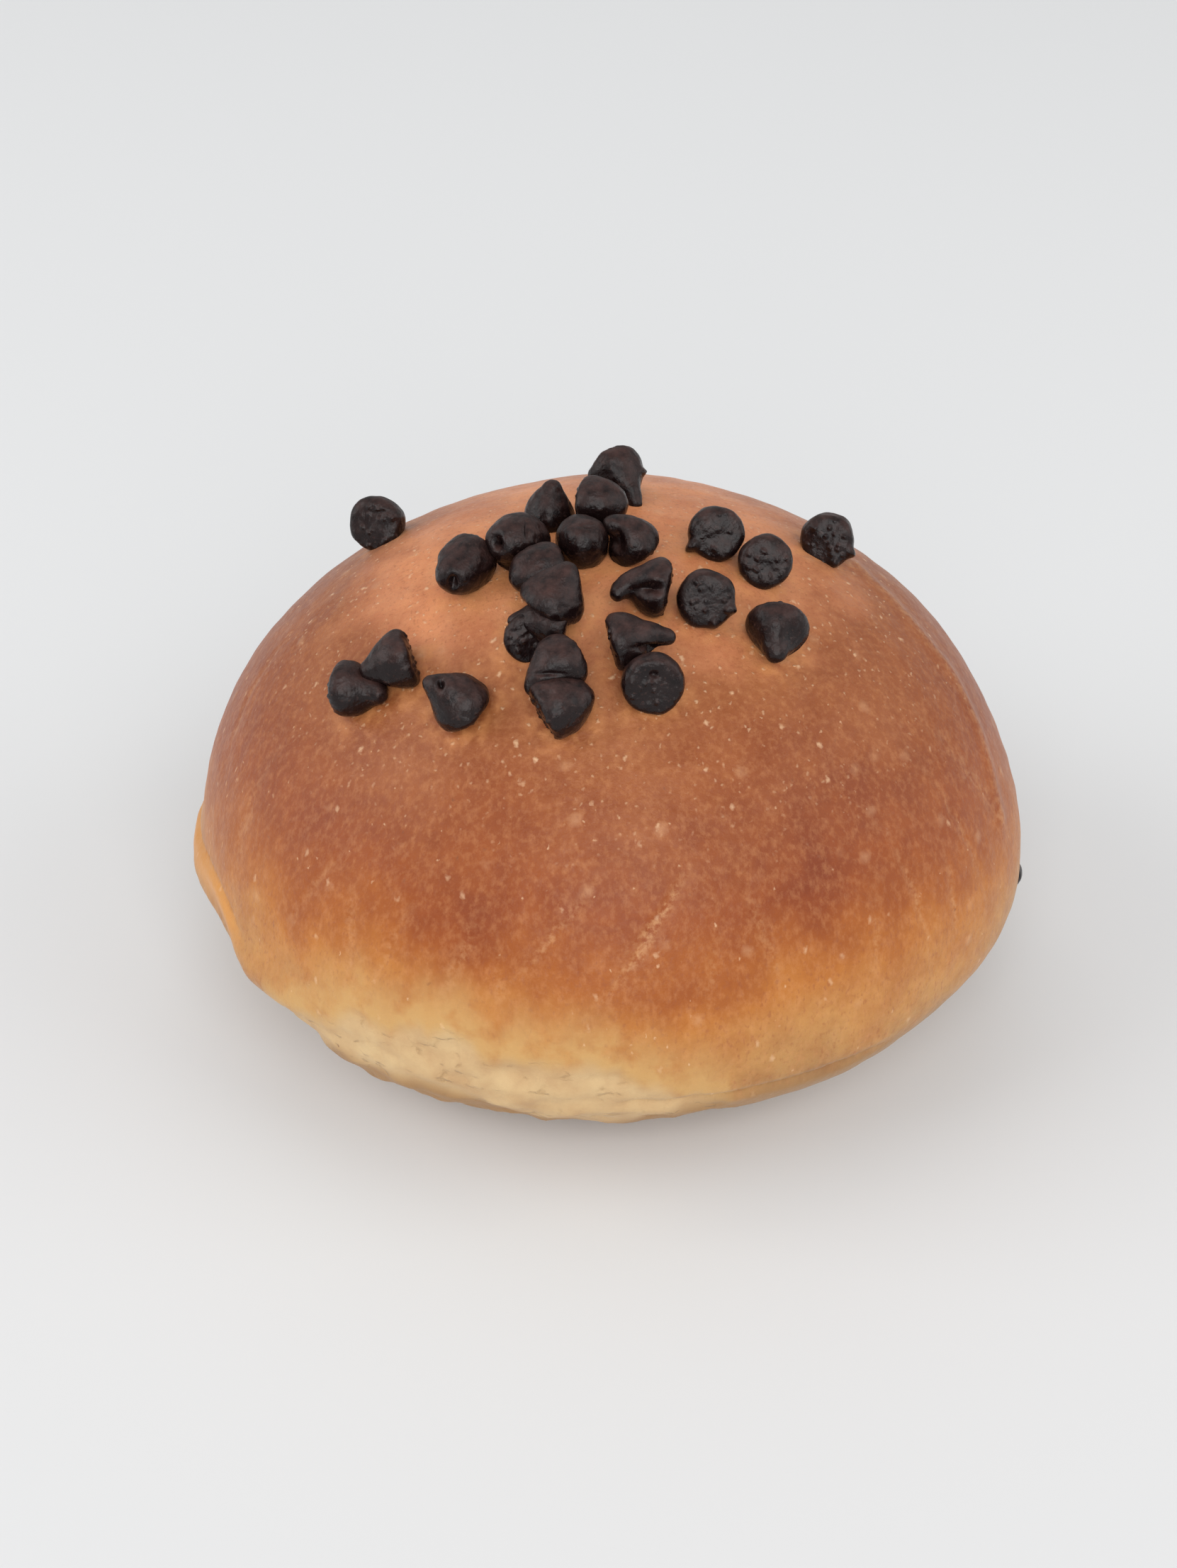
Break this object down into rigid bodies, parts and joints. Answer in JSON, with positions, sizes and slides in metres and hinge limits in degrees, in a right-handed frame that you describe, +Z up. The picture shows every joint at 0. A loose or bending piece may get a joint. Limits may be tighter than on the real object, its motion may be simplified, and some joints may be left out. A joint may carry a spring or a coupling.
{
  "type": "chocolate brioche",
  "caption": "Round domed brioche bun with a golden brown crust, a pale tucked-under foot and dark chocolate drops baked onto its crown",
  "frame": {"origin": "on the surface that the bun rests on, under the middle of its length and width", "axes": "+Z up, +X to the right along the longer width, -Y is the front"},
  "size_m": [0.1072, 0.0972, 0.0678],
  "materials": {
    "crust": "baked egg-washed bread crust: brown crown, orange flank, pale golden foot, soft sheen",
    "chocolate": "dark chocolate, semi-matte, bumpy flat feet and smooth bellies"
  },
  "bodies": {
    "root": {"bun": "crust", "drop_01": "chocolate", "drop_02": "chocolate", "drop_03": "chocolate", "drop_04": "chocolate", "drop_05": "chocolate", "drop_06": "chocolate", "drop_07": "chocolate", "drop_08": "chocolate", "drop_09": "chocolate", "drop_10": "chocolate", "drop_11": "chocolate", "drop_12": "chocolate", "drop_13": "chocolate", "drop_14": "chocolate", "drop_15": "chocolate", "drop_16": "chocolate", "drop_17": "chocolate", "drop_18": "chocolate", "drop_19": "chocolate", "drop_20": "chocolate", "drop_21": "chocolate", "drop_22": "chocolate", "drop_23": "chocolate", "drop_24": "chocolate", "drop_25": "chocolate", "drop_26": "chocolate", "drop_27": "chocolate", "drop_28": "chocolate", "drop_29": "chocolate", "drop_30": "chocolate", "drop_31": "chocolate"}
  },
  "joints": []
}
